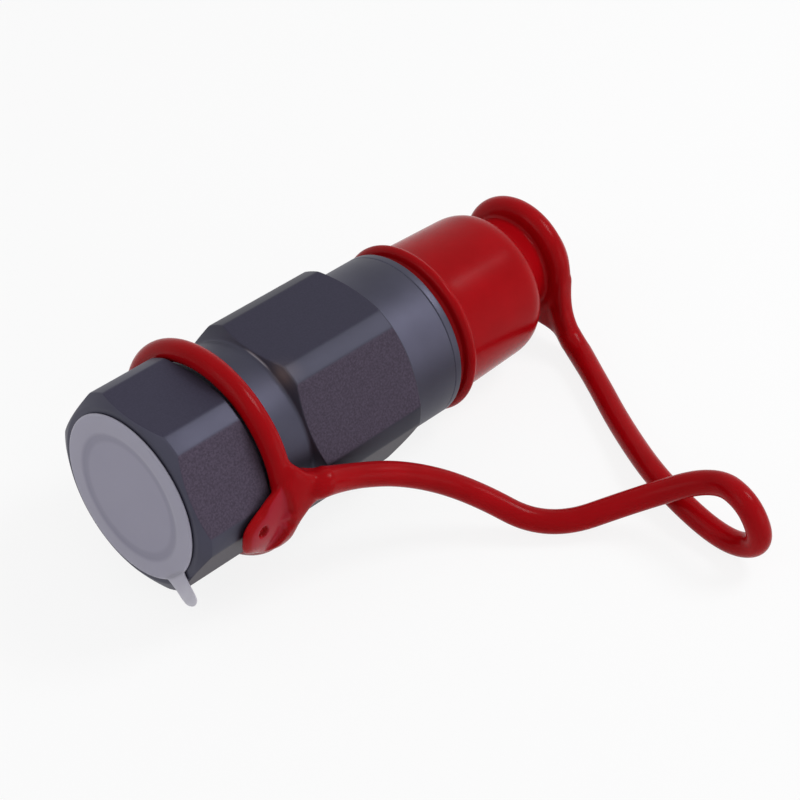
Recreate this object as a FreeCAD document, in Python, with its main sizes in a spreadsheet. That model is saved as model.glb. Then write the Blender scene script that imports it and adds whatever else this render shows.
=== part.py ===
import FreeCAD, Part
import math
import os
import Sketcher

# Male half of a flat face hydraulic quick coupler with its dust cap, cap tether and port plug.
# Frame: X is the coupler's axis, from the rear port face towards the nose.
# Z is up and square to a hexagon flat. The origin is the centre of the rear port face.

os.makedirs("parts", exist_ok=True)
doc = FreeCAD.newDocument("flat_face_coupler")
sizes = doc.addObject("Spreadsheet::Sheet", "sizes")

SIZES = [
    # nose
    ("nose_radius", 13.5),
    ("nose_length", 24.5),
    ("nose_chamfer", 1.0),
    ("lock_groove_from_face", 12.2),
    ("lock_groove_floor", 2.0),
    ("lock_groove_depth", 1.6),
    ("nose_wall", 1.6),
    ("flange_thickness", 1.8),
    ("flange_chamfer", 0.25),
    # screwed shank and its seal
    ("shank_wall", 2.888),
    ("shank_length", 15.4),
    ("screw_clearance", 0.05),
    ("land_clearance", 0.05),
    ("seal_step", 1.862),
    ("seal_groove_depth", 1.75),
    ("seal_groove_from_flange", 1.0),
    ("seal_side_clearance", 0.25),
    ("seal_land", 1.0),
    ("tapping_relief", 1.5),
    # hexagon bar and turned outside
    ("body_length", 65.4),
    ("collar_wall", 1.95),
    ("collar_length", 12.2),
    ("flat_stand", 1.0),
    ("corner_stand", 1.7),
    ("rear_chamfer_drop", 0.5),
    ("chamfer_degrees", 30.0),
    ("rear_hex_end", 14.85),
    ("neck_drop", 0.8),
    ("neck_length", 12.85),
    # rear port, G 3/4 tapping bore
    ("port_radius", 12.058),
    ("port_mouth_step", 1.642),
    ("port_depth", 18.0),
    ("flow_radius", 10.25),
    # valve
    ("land_step", 2.45),
    ("valve_land_length", 4.5),
    ("running_clearance", 0.05),
    ("seat_gap", 0.42),
    ("head_lap", 1.05),
    ("head_back_length", 4.0),
    ("stem_radius", 3.5),
    ("stem_tail", 3.5),
    ("stem_chamfer", 0.5),
    ("valve_groove_from_face", 1.6),
    ("valve_groove_depth", 1.35),
    ("valve_side_clearance", 0.05),
    ("valve_face_chamfer", 0.2),
    # spring, guide and retaining ring
    ("wire_radius", 0.7),
    ("coil_clearance", 1.0),
    ("coil_count", 6.0),
    ("spring_end_gap", 0.05),
    ("guide_inset", 6.0),
    ("guide_thickness", 4.0),
    ("guide_clearance", 0.1),
    ("guide_hub_wall", 2.1),
    ("guide_hub_length", 2.0),
    ("guide_hole_rim", 0.55),
    ("guide_hole_count", 8.0),
    ("clip_groove_depth", 0.8),
    ("clip_wall", 1.85),
    ("clip_thickness", 1.2),
    ("clip_clearance", 0.05),
    ("clip_side_clearance", 0.1),
    ("clip_opening_degrees", 40.0),
    # seal rings
    ("ring_clearance", 0.015),
    ("nose_backup_width", 1.2),
    ("valve_backup_width", 0.6),
    # port plug
    ("plug_flange_lap", 2.7),
    ("plug_flange_thickness", 0.55),
    ("plug_face_gap", 0.05),
    ("plug_clearance", 0.06),
    ("plug_wall", 1.2),
    ("plug_depth", 9.5),
    ("plug_lead", 0.6),
    ("tab_width", 4.2),
    ("tab_length", 6.1),
    ("tab_degrees", 129.5),
    # dust cap
    ("cap_seat_gap", 0.7),
    ("cap_clearance", 0.1),
    ("cap_wall", 2.0),
    ("cap_lip_from_end", 2.4),
    ("cap_lip_stand", 0.22),
    ("cap_lip_section", 1.43),
    ("cap_base_stand", 0.15),
    ("cap_taper", 0.5),
    ("cap_corner", 3.5),
    ("cap_inner_gap", 0.4),
    ("cap_end_wall", 1.9),
    ("cap_inner_chamfer", 0.8),
    ("knob_stem_radius", 7.2),
    ("knob_stem_length", 11.48),
    ("knob_root_length", 5.5),
    ("knob_root_stand", 4.0),
    ("knob_head_lap", 3.0),
    ("knob_head_thickness", 1.5),
    ("knob_edge", 0.5),
    # tether: neck ring, lug, cord and eye; the lug's lengths run from the ring
    ("neck_ring_inset", 2.0),
    ("neck_ring_clearance", 0.36),
    ("neck_ring_section", 2.14),
    ("neck_ring_drop", 0.3),
    ("lug_degrees", 95.0),
    ("lug_block_inset", 0.7),
    ("lug_reach", 13.6),
    ("lug_clearance", 0.3),
    ("lug_plate_end", 2.9),
    ("lug_neck_clearance", 1.2),
    ("lug_neck_start", 1.3),
    ("lug_neck_end", 5.7),
    ("lug_root_clearance", 0.5),
    ("lug_root_start", 8.2),
    ("lug_plate_thickness", 1.5),
    ("lug_step", 1.7),
    ("lug_knuckle_stand", 0.7),
    ("lug_knuckle_start", 1.0),
    ("lug_knuckle_end", 1.2),
    ("lug_root_thickness", 3.7),
    ("lug_hole_radius", 1.2),
    ("lug_hole_depth", 1.0),
    ("lug_hole_from_ring", 6.6),
    ("lug_hole_rise", 0.1),
    ("tether_radius", 2.35),
    ("eye_gap", 0.33),
    ("eye_clearance", 1.23),
    ("eye_section", 2.45),
    ("eye_side", 0.7),
    ("eye_rise", 0.5),
    ("eye_web", 3.6),
    ("eye_root_length", 5.0),
    ("eye_root_gap", 0.05),
]
# Sizes and places that follow from those above, so that pieces keep their fit.
FITS = [
    ("nose_bore_radius", "nose_radius - lock_groove_depth - nose_wall"),
    ("tapping_radius", "nose_bore_radius + shank_wall"),
    ("seal_bore_radius", "tapping_radius + seal_step"),
    ("front_radius", "seal_bore_radius + collar_wall"),
    ("across_flats", "2 * (front_radius + flat_stand)"),
    ("corner_radius", "across_flats / 2 + corner_stand"),
    ("rear_chamfer_radius", "across_flats / 2 - rear_chamfer_drop"),
    ("neck_radius", "across_flats / 2 - neck_drop"),
    ("neck_end", "rear_hex_end + neck_length"),
    ("mid_hex_end", "body_length - collar_length"),
    ("port_mouth_radius", "port_radius + port_mouth_step"),
    ("shank_start", "body_length - shank_length"),
    ("tapping_start", "shank_start - tapping_relief"),
    ("seal_groove_end", "body_length - seal_groove_from_flange"),
    ("seal_groove_width", "nose_backup_width + seal_groove_depth + seal_side_clearance"),
    ("seal_groove_start", "seal_groove_end - seal_groove_width"),
    ("seal_groove_radius", "seal_bore_radius - seal_groove_depth"),
    ("seal_bore_start", "seal_groove_start - seal_land"),
    ("nose_face", "body_length + flange_thickness + nose_length"),
    ("valve_land_radius", "nose_bore_radius - land_step"),
    ("valve_head_radius", "valve_land_radius + head_lap"),
    ("valve_head_back", "nose_face - valve_land_length - head_back_length"),
    ("valve_groove_end", "nose_face - valve_groove_from_face"),
    ("valve_groove_width", "valve_backup_width + valve_groove_depth + valve_side_clearance"),
    ("valve_groove_start", "valve_groove_end - valve_groove_width"),
    ("valve_groove_radius", "valve_land_radius - running_clearance - valve_groove_depth"),
    ("guide_rear", "shank_start + guide_inset"),
    ("guide_front", "guide_rear + guide_thickness"),
    ("guide_hub_radius", "stem_radius + guide_hub_wall"),
    ("guide_hole_circle", "(guide_hub_radius + nose_bore_radius - guide_clearance) / 2"),
    ("guide_hole_radius", "nose_bore_radius - guide_clearance - guide_hole_circle - guide_hole_rim"),
    ("stem_end", "guide_rear - guide_hub_length - stem_tail"),
    ("coil_radius", "stem_radius + wire_radius + coil_clearance"),
    ("clip_groove_radius", "nose_bore_radius + clip_groove_depth"),
    ("clip_groove_start", "guide_rear - clip_thickness - clip_side_clearance"),
    ("clip_inner_radius", "clip_groove_radius - clip_clearance - clip_wall"),
    ("plug_flange_radius", "port_mouth_radius + plug_flange_lap"),
    ("tab_reach", "plug_flange_radius + tab_length"),
    ("cap_start", "body_length + flange_thickness + cap_seat_gap"),
    ("cap_skirt_radius", "nose_radius + cap_clearance + cap_wall"),
    ("cap_lip_x", "cap_start + cap_lip_from_end"),
    ("cap_lip_radius", "cap_skirt_radius + cap_lip_stand"),
    ("cap_base_radius", "cap_skirt_radius + cap_base_stand"),
    ("cap_front_radius", "cap_skirt_radius - cap_taper"),
    ("cap_end", "nose_face + cap_inner_gap + cap_end_wall"),
    ("knob_head_radius", "knob_stem_radius + knob_head_lap"),
    ("knob_head_start", "cap_end + knob_stem_length"),
    ("neck_start", "rear_hex_end + (corner_radius - neck_radius) * tan(chamfer_degrees * 1 deg)"),
    ("neck_ring_x", "neck_start + neck_ring_inset"),
    ("neck_ring_radius", "neck_radius + neck_ring_clearance + neck_ring_section"),
    ("lug_plate_inner", "corner_radius + lug_clearance"),
    ("lug_plate_outer", "lug_plate_inner + lug_plate_thickness"),
    ("lug_knuckle_outer", "lug_plate_outer + lug_knuckle_stand"),
    ("lug_neck_inner", "neck_radius + lug_neck_clearance"),
    ("lug_root_inner", "corner_radius + lug_root_clearance"),
    ("lug_root_outer", "lug_root_inner + lug_root_thickness"),
    ("lug_block_start", "neck_radius - lug_block_inset"),
    ("eye_x", "knob_head_start - eye_gap - eye_section"),
    ("eye_radius", "knob_stem_radius + eye_clearance + eye_section"),
]
FORMULAS = [(alias, "=" + text) for alias, text in FITS]
for row, (alias, value) in enumerate(SIZES + FORMULAS, 1):
    sizes.set("A" + str(row), alias)
    sizes.setAlias("B" + str(row), alias)
    sizes.set("B" + str(row), str(value))

# Corners of the tether's route in millimetres, from the lug on the neck ring to the eye behind the cap.
# The runs between them are straight and each corner is rounded by a tangent arc.
CORNERS = [
    (25.5, -22.3, 2.9),
    (32.2, -22.5, 0.1),
    (42.7, -26.4, -3.4),
    (52.9, -32.8, -9.5),
    (60.8, -45.8, -16.4),
    (74.8, -55.8, -10.3),
    (81.8, -66.5, -2.3),
    (79.2, -76.0, -0.8),
    (80.7, -79.9, -9.9),
    (81.1, -71.6, -15.0),
    (81.8, -55.5, -11.7),
    (90.4, -38.9, -13.2),
    (97.8, -25.6, -12.5),
]
# Where the cord runs into the eye, from the eye's centre.
EYE_ROOT = (-1.4, -19.3, -12.6)
# Outline of the lug as seen from its side: along the axis from the neck ring, and up from its middle.
LUG_OUTLINE = [
    (9.1, 1.5),
    (6.9, 1.5),
    (5.1, 1.0),
    (3.3, -0.3),
    (1.8, -2.2),
    (1.0, -4.6),
    (0.6, -6.8),
    (-0.8, -8.4),
    (-2.8, -8.6),
    (-4.8, -7.9),
    (-7.0, -6.4),
    (-9.1, -4.4),
    (-10.3, -1.2),
    (-10.0, 1.6),
    (-8.3, 3.9),
    (-5.3, 5.5),
    (-2.5, 6.8),
    (-0.7, 9.0),
    (1.0, 10.2),
    (2.5, 9.2),
    (4.0, 7.5),
    (5.8, 6.2),
    (7.4, 5.8),
    (9.1, 5.8),
]
# Outline of the eye's web, across and up in the eye's own frame.
WEB_OUTLINE = [
    (-13.2, 1.6),
    (-13.6, -1.2),
    (-14.2, -3.9),
    (-15.2, -6.2),
    (-16.8, -8.4),
    (-18.0, -10.4),
    (-17.8, -12.8),
    (-16.0, -14.4),
    (-14.2, -13.6),
    (-12.8, -12.5),
    (-11.2, -11.8),
    (-9.0, -11.5),
    (-6.4, -11.4),
    (-6.6, -9.7),
    (-9.0, -7.1),
    (-10.9, -3.6),
    (-11.6, 0.0),
    (-12.4, 1.6),
]
doc.recompute()


def size(alias):
    return float(sizes.get(alias))


def origin_feature(body, role):
    return [f for f in body.Origin.OriginFeatures if f.Role == role][0]


def new_body(label):
    body = doc.addObject("PartDesign::Body", label)
    body.Label = label
    body.Placement = FreeCAD.Placement()
    return body


def new_sketch(body, name, plane):
    sketch = body.newObject("Sketcher::SketchObject", name)
    sketch.AttachmentSupport = (origin_feature(body, plane), [""])
    sketch.MapMode = "FlatFace"
    return sketch


def place(sketch, geometry, point, pair):
    """Holds a point of the sketch at (across, up), each an expression in the sheet's names."""
    for kind, axis, text in (("DistanceX", -2, pair[0]), ("DistanceY", -1, pair[1])):
        if text == "0":
            sketch.addConstraint(Sketcher.Constraint("PointOnObject", geometry, point, axis))
            continue
        value = float(sketch.evalExpression(text))
        sketch.addConstraint(Sketcher.Constraint(kind, -1, 1, geometry, point, value))
        sketch.setExpression("Constraints[%d]" % (sketch.ConstraintCount - 1), text)


def outline(body, name, plane, corners):
    """A closed outline of straight lines, each corner given as two expressions."""
    named = [tuple(expand(c) for c in pair) for pair in corners]
    sketch = new_sketch(body, name, plane)
    spots = []
    for across, up in named:
        x = float(sketch.evalExpression(across))
        y = float(sketch.evalExpression(up))
        spots.append(FreeCAD.Vector(x, y, 0))
    count = len(spots)
    for i in range(count):
        sketch.addGeometry(Part.LineSegment(spots[i], spots[(i + 1) % count]), False)
    for i in range(count):
        sketch.addConstraint(Sketcher.Constraint("Coincident", i, 2, (i + 1) % count, 1))
    for i in range(count):
        place(sketch, i, 1, named[i])
    return sketch


def circle(body, name, plane, centre, radius):
    """A circle whose centre and radius are expressions."""
    centre = tuple(expand(c) for c in centre)
    radius = expand(radius)
    sketch = new_sketch(body, name, plane)
    x = float(sketch.evalExpression(centre[0]))
    y = float(sketch.evalExpression(centre[1]))
    r = float(sketch.evalExpression(radius))
    normal = FreeCAD.Vector(0, 0, 1)
    sketch.addGeometry(Part.Circle(FreeCAD.Vector(x, y, 0), normal, r), False)
    place(sketch, 0, 3, centre)
    sketch.addConstraint(Sketcher.Constraint("Radius", 0, r))
    sketch.setExpression("Constraints[%d]" % (sketch.ConstraintCount - 1), radius)
    return sketch


ALIASES = [alias for alias, value in SIZES + FITS]


def expand(text):
    """Writes each size's name in the form that an expression needs."""
    words = []
    word = ""
    for letter in text + " ":
        if letter.isalnum() or letter == "_":
            word += letter
            continue
        words.append("sizes." + word if word in ALIASES else word)
        words.append(letter)
        word = ""
    return "".join(words).strip()


def turn(body, kind, name, sketch, degrees="360"):
    """A profile turned about the X axis, added (Revolution) or cut away (Groove)."""
    feature = body.newObject("PartDesign::" + kind, name)
    feature.Profile = sketch
    feature.ReferenceAxis = (origin_feature(body, "X_Axis"), [""])
    feature.setExpression("Angle", expand(degrees))
    sketch.Visibility = False
    body.Tip = feature
    return feature


def turned_body(label, corners, degrees="360"):
    body = new_body(label)
    sketch = outline(body, label + "_profile", "XZ_Plane", corners)
    turn(body, "Revolution", label + "_turned", sketch, degrees)
    return body


def ring_body(label, centre, radius):
    body = new_body(label)
    sketch = circle(body, label + "_section", "XZ_Plane", centre, radius)
    turn(body, "Revolution", label + "_turned", sketch)
    return body


def cuts(before, body, name):
    """Says so if a cut removed nothing."""
    doc.recompute()
    if not body.Shape.Volume < before - 1e-3:
        raise RuntimeError(name + " removed nothing")
    return body.Shape.Volume


# Coupler body: hexagon bar, turned outside, bored from both ends.
body = new_body("coupler_body")
half = "across_flats / (2 * sqrt(3))"
hexagon = outline(
    body,
    "hexagon",
    "YZ_Plane",
    [
        (half, "across_flats / 2"),
        ("-" + half, "across_flats / 2"),
        ("-across_flats / sqrt(3)", "0"),
        ("-" + half, "-across_flats / 2"),
        (half, "-across_flats / 2"),
        ("across_flats / sqrt(3)", "0"),
    ],
)
bar = body.newObject("PartDesign::Pad", "bar")
bar.Profile = hexagon
bar.setExpression("Length", expand("body_length"))
body.Tip = bar
doc.recompute()
volume = body.Shape.Volume
slope = "tan(chamfer_degrees * 1 deg)"
outside = outline(
    body,
    "turned_outside",
    "XZ_Plane",
    [
        ("0", "rear_chamfer_radius"),
        ("(corner_radius - rear_chamfer_radius) * " + slope, "corner_radius"),
        ("rear_hex_end", "corner_radius"),
        ("neck_start", "neck_radius"),
        ("neck_end", "neck_radius"),
        ("neck_end + (corner_radius - neck_radius) * " + slope, "corner_radius"),
        ("mid_hex_end", "corner_radius"),
        ("mid_hex_end + (corner_radius - front_radius) * " + slope, "front_radius"),
        ("body_length + 1", "front_radius"),
        ("body_length + 1", "corner_radius + 3"),
        ("-1", "corner_radius + 3"),
        ("-1", "rear_chamfer_radius"),
    ],
)
turn(body, "Groove", "turned_corners_and_neck", outside)
volume = cuts(volume, body, "turning")
inside = outline(
    body,
    "bored_inside",
    "XZ_Plane",
    [
        ("-1", "0"),
        ("-1", "port_mouth_radius"),
        ("0", "port_mouth_radius"),
        ("port_mouth_radius - port_radius", "port_radius"),
        ("port_depth", "port_radius"),
        ("port_depth + (port_radius - flow_radius) * " + slope, "flow_radius"),
        ("tapping_start", "flow_radius"),
        ("tapping_start", "tapping_radius"),
        ("seal_bore_start", "tapping_radius"),
        ("seal_bore_start", "seal_bore_radius"),
        ("body_length + 1", "seal_bore_radius"),
        ("body_length + 1", "0"),
    ],
)
turn(body, "Groove", "port_and_bores", inside)
volume = cuts(volume, body, "boring")

# Nose piece: screwed shank, sealed land, flange, nose with its locking groove, and the valve seat.
shank = "(tapping_radius - screw_clearance)"
land = "(seal_bore_radius - land_clearance)"
lock = "(nose_face - lock_groove_from_face)"
flange_front = "(body_length + flange_thickness)"
turned_body(
    "nose_piece",
    [
        ("shank_start", "nose_bore_radius"),
        ("shank_start", shank + " - 0.6"),
        ("shank_start + 0.6", shank),
        ("seal_bore_start + 0.2", shank),
        ("seal_bore_start + 0.2", land + " - 0.3"),
        ("seal_bore_start + 0.5", land),
        ("seal_groove_start", land),
        ("seal_groove_start", "seal_groove_radius"),
        ("seal_groove_end", "seal_groove_radius"),
        ("seal_groove_end", land),
        ("body_length", land),
        ("body_length", "front_radius - flange_chamfer"),
        ("body_length + flange_chamfer", "front_radius"),
        (flange_front + " - flange_chamfer", "front_radius"),
        (flange_front, "front_radius - flange_chamfer"),
        (flange_front, "nose_radius"),
        (lock + " - lock_groove_floor / 2 - lock_groove_depth", "nose_radius"),
        (lock + " - lock_groove_floor / 2", "nose_radius - lock_groove_depth"),
        (lock + " + lock_groove_floor / 2", "nose_radius - lock_groove_depth"),
        (lock + " + lock_groove_floor / 2 + lock_groove_depth", "nose_radius"),
        ("nose_face - nose_chamfer", "nose_radius"),
        ("nose_face", "nose_radius - nose_chamfer"),
        ("nose_face", "valve_land_radius"),
        ("nose_face - valve_land_length", "valve_land_radius"),
        ("nose_face - valve_land_length - nose_bore_radius + valve_land_radius", "nose_bore_radius"),
        ("guide_rear", "nose_bore_radius"),
        ("guide_rear", "clip_groove_radius"),
        ("clip_groove_start", "clip_groove_radius"),
        ("clip_groove_start", "nose_bore_radius"),
    ],
)

# Seal between nose and body: a soft ring and its harder backup ring, side by side in the groove.
gap = "(seal_groove_radius + seal_bore_radius) / 2"
free_width = "(seal_groove_end - seal_groove_start - nose_backup_width)"
ring_body(
    "nose_o_ring",
    ("seal_groove_start + " + free_width + " / 2", gap),
    "(seal_bore_radius - seal_groove_radius) / 2 - ring_clearance",
)
turned_body(
    "nose_backup_ring",
    [
        ("seal_groove_end - nose_backup_width", "seal_groove_radius + ring_clearance"),
        ("seal_groove_end - nose_backup_width", "seal_bore_radius - ring_clearance"),
        ("seal_groove_end - ring_clearance", "seal_bore_radius - ring_clearance"),
        ("seal_groove_end - ring_clearance", "seal_groove_radius + ring_clearance"),
    ],
)

# Valve: a flat faced head on a guided stem. The head's cone faces the nose's inner cone.
head = "(valve_land_radius - running_clearance)"
cone = "(nose_face - valve_land_length + valve_land_radius - seat_gap)"
turned_body(
    "valve",
    [
        ("stem_end", "0"),
        ("stem_end", "stem_radius - stem_chamfer"),
        ("stem_end + stem_chamfer", "stem_radius"),
        ("valve_head_back", "stem_radius"),
        ("valve_head_back", "valve_head_radius"),
        (cone + " - valve_head_radius", "valve_head_radius"),
        (cone + " - " + head, head),
        ("valve_groove_start", head),
        ("valve_groove_start", "valve_groove_radius"),
        ("valve_groove_end", "valve_groove_radius"),
        ("valve_groove_end", head),
        ("nose_face - valve_face_chamfer", head),
        ("nose_face", head + " - valve_face_chamfer"),
        ("nose_face", "0"),
    ],
)
valve_room = "(valve_groove_end - valve_groove_start - valve_backup_width)"
ring_body(
    "valve_o_ring",
    ("valve_groove_start + " + valve_room + " / 2", "(valve_groove_radius + " + head + ") / 2"),
    "(" + head + " - valve_groove_radius) / 2 - ring_clearance",
)
turned_body(
    "valve_backup_ring",
    [
        ("valve_groove_end - valve_backup_width", "valve_groove_radius + ring_clearance"),
        ("valve_groove_end - valve_backup_width", head),
        ("valve_groove_end - ring_clearance", head),
        ("valve_groove_end - ring_clearance", "valve_groove_radius + ring_clearance"),
    ],
)

# Valve spring: round wire coiled about the stem between the guide and the head.
spring = new_body("valve_spring")
wire = circle(
    spring,
    "spring_wire",
    "XZ_Plane",
    ("guide_front + spring_end_gap + wire_radius", "coil_radius"),
    "wire_radius",
)
coil = spring.newObject("PartDesign::AdditiveHelix", "spring_coil")
coil.Profile = wire
coil.ReferenceAxis = (origin_feature(spring, "X_Axis"), [""])
coil.Mode = 2
coil.setExpression(
    "Height",
    expand("valve_head_back - guide_front - 2 * (spring_end_gap + wire_radius)"),
)
coil.setExpression("Turns", expand("coil_count"))
spring.Tip = coil

# Valve guide: a disc with flow holes round a hub that the stem slides in.
stem_bore = "(stem_radius + running_clearance)"
guide = turned_body(
    "valve_guide",
    [
        ("guide_rear - guide_hub_length", stem_bore),
        ("guide_rear - guide_hub_length", "guide_hub_radius"),
        ("guide_rear", "guide_hub_radius"),
        ("guide_rear", "nose_bore_radius - guide_clearance"),
        ("guide_front", "nose_bore_radius - guide_clearance"),
        ("guide_front", stem_bore),
    ],
)
doc.recompute()
volume = guide.Shape.Volume
hole = circle(guide, "guide_hole_outline", "YZ_Plane", ("0", "guide_hole_circle"), "guide_hole_radius")
drilled = guide.newObject("PartDesign::Pocket", "guide_hole")
drilled.Profile = hole
drilled.Type = "ThroughAll"
drilled.Reversed = True
guide.Tip = drilled
volume = cuts(volume, guide, "guide hole")
holes = guide.newObject("PartDesign::PolarPattern", "guide_holes")
holes.Originals = [drilled]
holes.Axis = (origin_feature(guide, "X_Axis"), [""])
holes.setExpression("Occurrences", expand("guide_hole_count"))
guide.Tip = holes
volume = cuts(volume, guide, "guide holes")

# Retaining ring: an open clip in the nose bore behind the guide.
clip_middle = "(clip_groove_start + guide_rear) / 2"
turned_body(
    "guide_retaining_ring",
    [
        (clip_middle + " - clip_thickness / 2", "clip_inner_radius"),
        (clip_middle + " - clip_thickness / 2", "clip_groove_radius - clip_clearance"),
        (clip_middle + " + clip_thickness / 2", "clip_groove_radius - clip_clearance"),
        (clip_middle + " + clip_thickness / 2", "clip_inner_radius"),
    ],
    "360 - clip_opening_degrees",
)

# Port plug: a moulded cup pushed into the port, with a flange and a pull tab.
plug_skirt = "(port_radius - plug_clearance)"
plug = turned_body(
    "port_plug",
    [
        ("-plug_face_gap - plug_flange_thickness", "0"),
        ("-plug_face_gap - plug_flange_thickness", "plug_flange_radius - 0.25"),
        ("-plug_face_gap - plug_flange_thickness + 0.25", "plug_flange_radius"),
        ("-plug_face_gap", "plug_flange_radius"),
        ("-plug_face_gap", plug_skirt),
        ("plug_depth - 2 * plug_lead", plug_skirt),
        ("plug_depth", plug_skirt + " - plug_lead"),
        ("plug_depth", plug_skirt + " - plug_wall"),
        ("-plug_face_gap + 0.2", plug_skirt + " - plug_wall"),
        ("-plug_face_gap + 0.2", "0"),
    ],
)
tab = new_sketch(plug, "pull_tab_outline", "YZ_Plane")
lean = math.radians(size("tab_degrees"))
along = FreeCAD.Vector(-math.sin(lean), math.cos(lean), 0)
square = FreeCAD.Vector(along.y, -along.x, 0)
half_width = size("tab_width") / 2
reach = size("tab_reach") - half_width
root = size("plug_flange_radius") - 2
near_left = along * root + square * (half_width * 1.35)
near_right = along * root - square * (half_width * 1.35)
far_left = along * reach + square * half_width
far_right = along * reach - square * half_width
tip = along * size("tab_reach")
tab.addGeometry(Part.LineSegment(near_right, near_left), False)
tab.addGeometry(Part.LineSegment(near_left, far_left), False)
tab.addGeometry(Part.Arc(far_left, tip, far_right), False)
tab.addGeometry(Part.LineSegment(far_right, near_right), False)
doc.recompute()
volume = plug.Shape.Volume
tab_pad = plug.newObject("PartDesign::Pad", "pull_tab")
tab_pad.Profile = tab
tab_pad.setExpression("Length", expand("plug_flange_thickness + plug_face_gap"))
tab_pad.Reversed = True
plug.Tip = tab_pad
doc.recompute()
if not plug.Shape.Volume > volume + 1:
    raise RuntimeError("the pull tab adds nothing")

# Dust cap: a moulded cup over the nose with a rolled lip, and a knob that the tether's eye hangs on.
cap = turned_body(
    "dust_cap",
    [
        ("cap_start", "nose_radius + cap_clearance"),
        ("cap_start", "cap_skirt_radius - 0.4"),
        ("cap_start + 0.4", "cap_skirt_radius"),
        ("cap_lip_x + cap_lip_section", "cap_base_radius"),
        ("cap_end - cap_corner", "cap_front_radius"),
        ("cap_end - cap_corner * 0.55", "cap_front_radius - cap_corner * 0.12"),
        ("cap_end - cap_corner * 0.2", "cap_front_radius - cap_corner * 0.42"),
        ("cap_end", "cap_front_radius - cap_corner"),
        ("cap_end", "knob_stem_radius + knob_root_stand"),
        ("cap_end + knob_root_length * 0.4", "knob_stem_radius + knob_root_stand * 0.55"),
        ("cap_end + knob_root_length", "knob_stem_radius"),
        ("knob_head_start", "knob_stem_radius"),
        ("knob_head_start", "knob_head_radius - knob_edge"),
        ("knob_head_start + knob_edge", "knob_head_radius"),
        ("knob_head_start + knob_head_thickness - knob_edge", "knob_head_radius"),
        ("knob_head_start + knob_head_thickness", "knob_head_radius - knob_edge"),
        ("knob_head_start + knob_head_thickness", "0"),
        ("cap_end - cap_end_wall", "0"),
        ("cap_end - cap_end_wall", "nose_radius + cap_clearance - cap_inner_chamfer"),
        ("cap_end - cap_end_wall - cap_inner_chamfer", "nose_radius + cap_clearance"),
    ],
)
lip = circle(cap, "cap_lip_outline", "XZ_Plane", ("cap_lip_x", "cap_lip_radius"), "cap_lip_section")
turn(cap, "Revolution", "cap_lip", lip)

# Neck ring: the tether's loop round the neck, with the lug that the cord leaves from.
# The lug is a smooth outline padded through, then trimmed inside and outside by turning.
ring = new_body("neck_ring")


def smooth_outline(body, name, plane, points):
    """One closed smooth curve through the given points."""
    sketch = new_sketch(body, name, plane)
    curve = Part.BSplineCurve()
    curve.interpolate(Points=[FreeCAD.Vector(a, b, 0) for a, b in points], PeriodicFlag=True)
    sketch.addGeometry(curve, False)
    return sketch


def lug_offset(distance):
    """Moves a sketch on the side plane to the ring and out to the lug, square to its middle."""
    spin = FreeCAD.Rotation(FreeCAD.Vector(1, 0, 0), size("lug_degrees") - 90)
    along = FreeCAD.Vector(size("neck_ring_x"), 0, 0)
    return FreeCAD.Placement(along + spin.multVec(FreeCAD.Vector(0, 0, distance)), spin)


lug = smooth_outline(ring, "lug_outline", "XZ_Plane", LUG_OUTLINE)
lug.AttachmentOffset = lug_offset(size("lug_block_start"))
lug_pad = ring.newObject("PartDesign::Pad", "lug_block")
lug_pad.Profile = lug
lug_pad.setExpression("Length", expand("lug_root_outer - lug_block_start + 2"))
ring.Tip = lug_pad
doc.recompute()
volume = ring.Shape.Volume
lug_face = outline(
    ring,
    "lug_outer_face",
    "XZ_Plane",
    [
        ("neck_ring_x - lug_reach", "lug_plate_outer"),
        ("neck_ring_x - lug_step", "lug_plate_outer"),
        ("neck_ring_x - lug_knuckle_start", "lug_knuckle_outer"),
        ("neck_ring_x + lug_knuckle_end", "lug_knuckle_outer"),
        ("neck_ring_x + lug_root_start", "lug_root_outer"),
        ("neck_ring_x + lug_reach", "lug_root_outer"),
        ("neck_ring_x + lug_reach", "lug_root_outer + 9"),
        ("neck_ring_x - lug_reach", "lug_root_outer + 9"),
    ],
)
turn(ring, "Groove", "lug_outer_turned", lug_face)
volume = cuts(volume, ring, "the lug's outer trim")
lug_back = outline(
    ring,
    "lug_inner_face",
    "XZ_Plane",
    [
        ("neck_ring_x - lug_reach", "lug_plate_inner"),
        ("neck_ring_x - lug_plate_end", "lug_plate_inner"),
        ("neck_ring_x - lug_neck_start", "lug_neck_inner"),
        ("neck_ring_x + lug_neck_end", "lug_neck_inner"),
        ("neck_ring_x + lug_root_start", "lug_root_inner"),
        ("neck_ring_x + lug_reach", "lug_root_inner"),
        ("neck_ring_x + lug_reach", "0"),
        ("neck_ring_x - lug_reach", "0"),
    ],
)
turn(ring, "Groove", "lug_inner_turned", lug_back)
volume = cuts(volume, ring, "the lug's inner trim")
pin_hole = circle(
    ring, "lug_hole_outline", "XZ_Plane", ("-lug_hole_from_ring", "lug_hole_rise"), "lug_hole_radius"
)
pin_hole.AttachmentOffset = lug_offset(size("lug_plate_outer"))
doc.recompute()
volume = ring.Shape.Volume
pin_pocket = ring.newObject("PartDesign::Pocket", "lug_hole")
pin_pocket.Profile = pin_hole
pin_pocket.setExpression("Length", expand("lug_hole_depth"))
ring.Tip = pin_pocket
volume = cuts(volume, ring, "lug hole")
ring_circle = circle(
    ring, "neck_ring_section", "XZ_Plane", ("neck_ring_x", "neck_ring_radius"), "neck_ring_section"
)
turn(ring, "Revolution", "neck_ring_turned", ring_circle)
doc.recompute()
ring.Placement = FreeCAD.Placement(FreeCAD.Vector(0, 0, size("neck_ring_drop")), FreeCAD.Rotation())

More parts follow.
